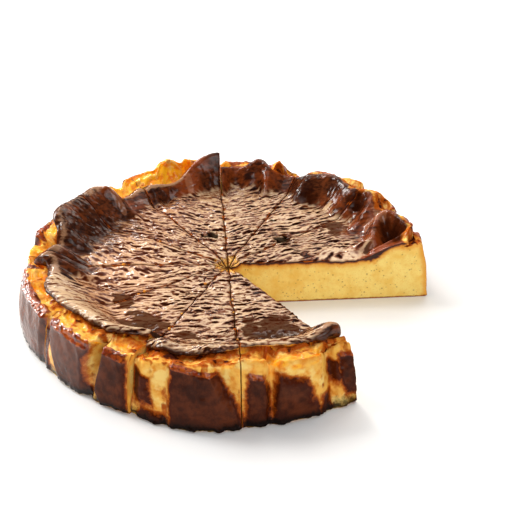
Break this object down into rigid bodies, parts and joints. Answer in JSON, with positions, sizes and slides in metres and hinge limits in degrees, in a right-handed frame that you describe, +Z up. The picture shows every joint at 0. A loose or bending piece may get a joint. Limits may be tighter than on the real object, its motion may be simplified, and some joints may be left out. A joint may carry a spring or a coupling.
{
  "type": "cut basque cheesecake",
  "caption": "Round burnt cheesecake with a sunken dark top and ragged crust rim, cut into wedges with a gap where some are gone.",
  "frame": {"origin": "middle of the flat underside, where the cuts meet", "axes": "+Z up through the cake, +X to the right of the view that the picture shows, with the wedge gap between +X and -Y"},
  "size_m": [0.257, 0.2598, 0.0515],
  "materials": {
    "cheesecake": "burnt dark brown skin over pale yellow cream, satin to moist"
  },
  "bodies": {
    "root": {"slice_01": "cheesecake", "slice_02": "cheesecake", "slice_03": "cheesecake", "slice_04": "cheesecake", "slice_05": "cheesecake", "slice_06": "cheesecake", "slice_07": "cheesecake", "slice_08": "cheesecake", "slice_09": "cheesecake", "slice_10": "cheesecake"}
  },
  "joints": []
}
